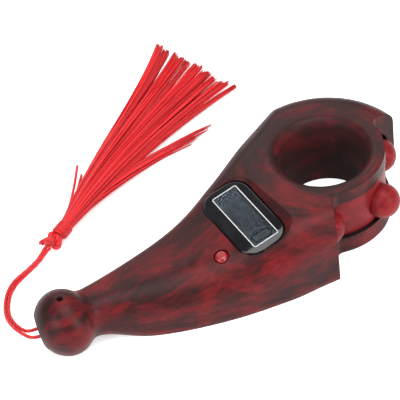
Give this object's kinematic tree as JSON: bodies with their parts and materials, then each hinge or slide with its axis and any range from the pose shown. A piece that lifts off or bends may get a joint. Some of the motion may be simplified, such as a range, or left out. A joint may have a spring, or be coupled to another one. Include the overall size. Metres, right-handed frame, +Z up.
{
  "type": "digital tasbih counter",
  "caption": "Hand-held digital prayer counter with a finger ring, turning magnetic beads, tilted display, reset button and a corded tassel at its tail.",
  "frame": {"origin": "on the finger hole's axis, at the base that lies on the table", "axes": "+X from the tail ball to the ring end, +Y to the far side where the tassel lies, +Z up out of the finger hole"},
  "size_m": [0.1002, 0.0941, 0.0184],
  "materials": {
    "shell": "satin, marbled dark brown and red",
    "bead": "satin, marbled red",
    "magnet": "plated",
    "lens": "gloss black",
    "window": "clear",
    "lcd": "blue grey panel",
    "connector": "matte",
    "board": "satin green",
    "resin": "matte black",
    "screw": "zinc plated",
    "button": "clear red, gloss",
    "plunger": "matte white",
    "reed": "clear green",
    "contact": "nickel plated",
    "cell": "satin steel",
    "cord": "twisted red thread",
    "tassel": "silky red thread"
  },
  "bodies": {
    "case": {"top_shell": "shell", "bottom_shell": "shell", "battery_door": "shell", "display_lens": "lens", "display_window": "window", "lcd_panel": "lcd", "zebra_strip": "connector", "circuit_board": "board", "chip_blob": "resin", "reset_switch": "resin", "board_screws": "screw", "door_screw": "screw", "case_screws": "screw", "cord_pin": "screw", "reed_switch": "reed", "reed_leads": "contact", "minus_contact": "contact", "plus_contact": "contact", "coin_cell": "cell", "cord_bight": "cord", "cord_strand_a": "cord", "cord_strand_b": "cord", "tassel_knot": "tassel", "tassel_skirt": "tassel", "tassel_binding": "tassel"},
    "bead_wheel": {"bead_carrier": "bead", "bead_1": "bead", "bead_2": "bead", "bead_3": "bead", "bead_4": "bead", "bead_5": "bead", "bead_6": "bead", "bead_magnet_1": "magnet", "bead_magnet_2": "magnet", "bead_magnet_3": "magnet", "bead_magnet_4": "magnet", "bead_magnet_5": "magnet", "bead_magnet_6": "magnet"},
    "reset_key": {"reset_button": "button", "reset_plunger": "plunger"}
  },
  "joints": [
    {"name": "bead_wheel_turn", "type": "hinge", "parent": "case", "child": "bead_wheel", "pos_m": [0, 0, 0], "axis": [0, 0, 1], "continuous": true},
    {"name": "reset_press", "type": "slide", "parent": "case", "child": "reset_key", "axis": [0.1475, 0.069, -0.9867], "range_m": [0, 0.0005], "stiffness_N_per_m": 800}
  ]
}
